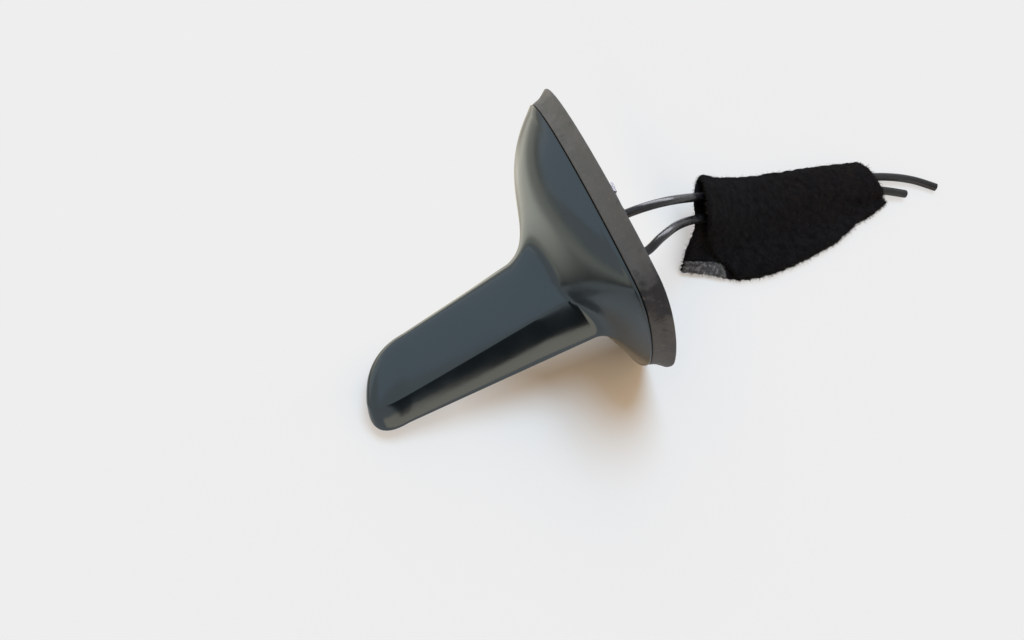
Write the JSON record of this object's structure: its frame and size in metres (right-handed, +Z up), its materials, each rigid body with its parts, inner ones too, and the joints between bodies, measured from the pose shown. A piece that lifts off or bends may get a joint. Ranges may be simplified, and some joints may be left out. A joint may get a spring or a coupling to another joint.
{
  "type": "roof antenna",
  "caption": "Vehicle roof antenna: a dome with a raked fin on a flared rubber skirt, with cut-off coaxial cables from its underside wrapped in folded felt.",
  "frame": {"origin": "on the roof skin, on the axis of the fixing screw", "axes": "+X forward to the nose, +Y to the left, +Z up out of the roof"},
  "size_m": [0.1017, 0.1091, 0.2382],
  "materials": {
    "cover_plastic": "satin moulded",
    "gasket_rubber": "matt, dusty",
    "cast_metal": "die cast",
    "black_foam": "closed cell foam",
    "black_rubber": "moulded",
    "spring_steel": "rolled",
    "screw_steel": "zinc plated",
    "board_laminate": "solder mask",
    "white_foam": "foam tape",
    "ceramic": "fired ceramic",
    "silver_face": "fired silver",
    "plated_brass": "tinned",
    "can_sheet": "tinned sheet",
    "filter_case": "ceramic",
    "chip_case": "moulded",
    "capacitor_case": "ceramic",
    "white_plastic": "moulded",
    "cable_jacket": "extruded",
    "black_felt": "needled felt"
  },
  "bodies": {
    "root": {"cover": "cover_plastic", "gasket": "gasket_rubber", "base_plate": "cast_metal", "hole_seal": "black_foam", "cover_seal": "black_foam", "front_clip": "spring_steel", "rear_clip": "spring_steel", "front_grommet": "black_rubber", "rear_grommet": "black_rubber", "circuit_board": "board_laminate", "board_screws": "screw_steel", "cover_screws": "screw_steel", "patch_pad": "white_foam", "patch_ceramic": "ceramic", "patch_electrode": "silver_face", "feed_pin": "plated_brass", "shield_can": "can_sheet", "filter_chip": "filter_case", "amplifier_chip": "chip_case", "capacitors": "capacitor_case", "radiator_board": "board_laminate", "radiator_holder": "white_plastic", "cable_ferrules": "plated_brass", "front_cable": "cable_jacket", "rear_cable": "cable_jacket", "felt_wrap": "black_felt"}
  },
  "joints": []
}
